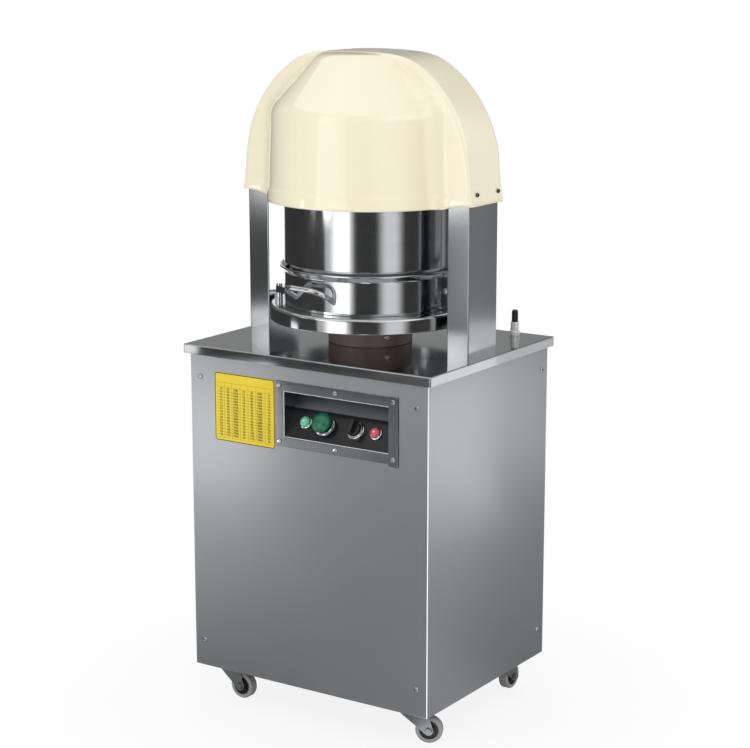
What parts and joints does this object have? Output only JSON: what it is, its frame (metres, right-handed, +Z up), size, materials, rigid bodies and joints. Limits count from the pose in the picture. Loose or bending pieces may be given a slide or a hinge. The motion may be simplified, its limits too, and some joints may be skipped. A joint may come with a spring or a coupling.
{
  "type": "dough divider",
  "caption": "Floor-standing electric dough divider: steel cabinet on casters, pan with a hinged ring, knife head that lifts into a domed cream cover.",
  "frame": {"origin": "on the floor below the middle of the table, which is the axis of the pan and the drum", "axes": "+Z up, -Y the front with the controls, +X to the user's right"},
  "size_m": [0.569, 0.4642, 1.3],
  "materials": {
    "cabinet_steel": "brushed stainless sheet",
    "table_steel": "polished stainless sheet",
    "column_steel": "satin stainless box section",
    "polished_steel": "mirror-polished stainless",
    "machine_steel": "turned and milled steel",
    "frame_paint": "grey primer on welded angle",
    "cover_cream": "cream gloss gel coat",
    "hub_iron": "red-brown oxide paint on cast iron",
    "board_white": "food-grade white board",
    "pad_white": "food-grade white pads",
    "spring_urethane": "urethane",
    "chart_yellow": "printed yellow enamel",
    "control_black": "black powder coat",
    "bezel_chrome": "chrome plate",
    "lens_green": "clear green lens",
    "lens_red": "clear red lens",
    "button_green": "green mushroom cap",
    "knob_black": "black moulding",
    "screw_zinc": "bright button-head screws",
    "screw_dark": "blackened screws",
    "bronze": "bearing bronze",
    "bearing_iron": "painted bearing housings",
    "motor_paint": "blue-grey enamel",
    "belt_rubber": "belt rubber",
    "box_grey": "grey enamel box",
    "switch_black": "black switch bodies",
    "grommet_rubber": "black rubber",
    "caster_zinc": "zinc-plated pressings",
    "wheel_rubber": "grey rubber tread"
  },
  "bodies": {
    "base": {"cabinet_frame": "frame_paint", "front_panel": "cabinet_steel", "side_panels": "cabinet_steel", "rear_panel": "cabinet_steel", "cable_grommet": "grommet_rubber", "panel_screws": "screw_zinc", "table_top": "table_steel", "weight_chart": "chart_yellow", "control_box": "cabinet_steel", "control_screws": "screw_zinc", "control_plate": "control_black", "control_bezels": "bezel_chrome", "run_lamp": "lens_green", "power_lamp": "lens_red", "columns": "column_steel", "guide_blocks": "bronze", "hub": "hub_iron", "support_disc": "polished_steel", "cutting_board": "board_white", "rear_ring": "polished_steel", "hinge_bracket": "polished_steel", "drive_deck": "frame_paint", "screw_bearings": "bearing_iron", "drive_belt": "belt_rubber", "motor_body": "motor_paint", "electrical_box": "box_grey", "limit_switches": "switch_black", "cover": "cover_cream", "cover_screws": "screw_dark", "knob_collar": "bezel_chrome", "caster_plates": "caster_zinc"},
    "head": {"crossbeam": "machine_steel", "head_plate": "machine_steel", "head_drum": "polished_steel", "knife_grid": "polished_steel", "lift_rods": "bezel_chrome", "rod_nuts": "machine_steel", "lower_yoke": "machine_steel", "lead_nut": "bronze", "press_springs": "spring_urethane"},
    "press": {"press_carrier": "machine_steel", "press_pads": "pad_white"},
    "door": {"front_ring": "polished_steel", "front_handle": "polished_steel", "clasp_bolt": "machine_steel"},
    "screw": {"lead_screw": "machine_steel", "screw_pulley": "bearing_iron"},
    "rotor": {"motor_shaft": "machine_steel", "motor_pulley": "bearing_iron"},
    "button": {"start_button": "button_green"},
    "selector": {"selector_knob": "knob_black"},
    "setting": {"setting_knob": "knob_black"},
    "swivel_front_left": {"caster_fork_front_left": "caster_zinc"},
    "wheel_front_left": {"caster_wheel_front_left": "wheel_rubber"},
    "swivel_front_right": {"caster_fork_front_right": "caster_zinc"},
    "wheel_front_right": {"caster_wheel_front_right": "wheel_rubber"},
    "swivel_rear_left": {"caster_fork_rear_left": "caster_zinc"},
    "wheel_rear_left": {"caster_wheel_rear_left": "wheel_rubber"},
    "swivel_rear_right": {"caster_fork_rear_right": "caster_zinc"},
    "wheel_rear_right": {"caster_wheel_rear_right": "wheel_rubber"}
  },
  "joints": [
    {"name": "screw_spin", "type": "hinge", "parent": "base", "child": "screw", "pos_m": [0, 0, 0.45], "axis": [0, 0, -1], "range_deg": [0, 3240]},
    {"name": "head_slide", "type": "slide", "parent": "base", "child": "head", "axis": [0, 0, 1], "range_m": [0, 0.0901]},
    {"name": "motor_spin", "type": "hinge", "parent": "base", "child": "rotor", "pos_m": [-0.13, 0.11, 0.25], "axis": [0, 0, -1], "range_deg": [0, 6481]},
    {"name": "press_slide", "type": "slide", "parent": "head", "child": "press", "axis": [0, 0, 1], "range_m": [0, 0.02], "stiffness_N_per_m": 20000, "springref_m": -0.01, "deforming": ["press_springs"]},
    {"name": "door_hinge", "type": "hinge", "parent": "base", "child": "door", "pos_m": [-0.16626, -0.07403, 0.83], "axis": [0, 0, -1], "range_deg": [0, 95]},
    {"name": "start_push", "type": "slide", "parent": "base", "child": "button", "axis": [0, 0.8192, -0.5736], "range_m": [0, 0.006], "stiffness_N_per_m": 600, "springref_m": -0.002},
    {"name": "selector_turn", "type": "hinge", "parent": "base", "child": "selector", "pos_m": [0.1036, -0.20267, 0.60585], "axis": [0, -0.8192, 0.5736], "range_deg": [-45, 45]},
    {"name": "setting_turn", "type": "hinge", "parent": "base", "child": "setting", "pos_m": [0.212, 0.2, 0.78], "axis": [0, 0, 1], "range_deg": [-140, 140]},
    {"name": "swivel_front_left", "type": "hinge", "parent": "base", "child": "swivel_front_left", "pos_m": [-0.22, -0.162, 0.07], "axis": [0, 0, 1], "continuous": true},
    {"name": "wheel_front_left", "type": "hinge", "parent": "swivel_front_left", "child": "wheel_front_left", "pos_m": [-0.2, -0.162, 0.0265], "axis": [0, -1, 0], "continuous": true},
    {"name": "swivel_front_right", "type": "hinge", "parent": "base", "child": "swivel_front_right", "pos_m": [0.22, -0.162, 0.07], "axis": [0, 0, 1], "continuous": true},
    {"name": "wheel_front_right", "type": "hinge", "parent": "swivel_front_right", "child": "wheel_front_right", "pos_m": [0.23813, -0.15355, 0.0265], "axis": [0.4226, -0.9063, 0], "continuous": true},
    {"name": "swivel_rear_left", "type": "hinge", "parent": "base", "child": "swivel_rear_left", "pos_m": [-0.22, 0.162, 0.07], "axis": [0, 0, 1], "continuous": true},
    {"name": "wheel_rear_left", "type": "hinge", "parent": "swivel_rear_left", "child": "wheel_rear_left", "pos_m": [-0.23532, 0.17486, 0.0265], "axis": [0.6428, 0.766, 0], "continuous": true},
    {"name": "swivel_rear_right", "type": "hinge", "parent": "base", "child": "swivel_rear_right", "pos_m": [0.22, 0.162, 0.07], "axis": [0, 0, 1], "continuous": true},
    {"name": "wheel_rear_right", "type": "hinge", "parent": "swivel_rear_right", "child": "wheel_rear_right", "pos_m": [0.22, 0.182, 0.0265], "axis": [1, 0, 0], "continuous": true}
  ],
  "couplings": [
    {"joint": "head_slide", "follows": "screw_spin", "m_per_rad": 0.0015915},
    {"joint": "motor_spin", "follows": "screw_spin", "ratio": 2}
  ]
}
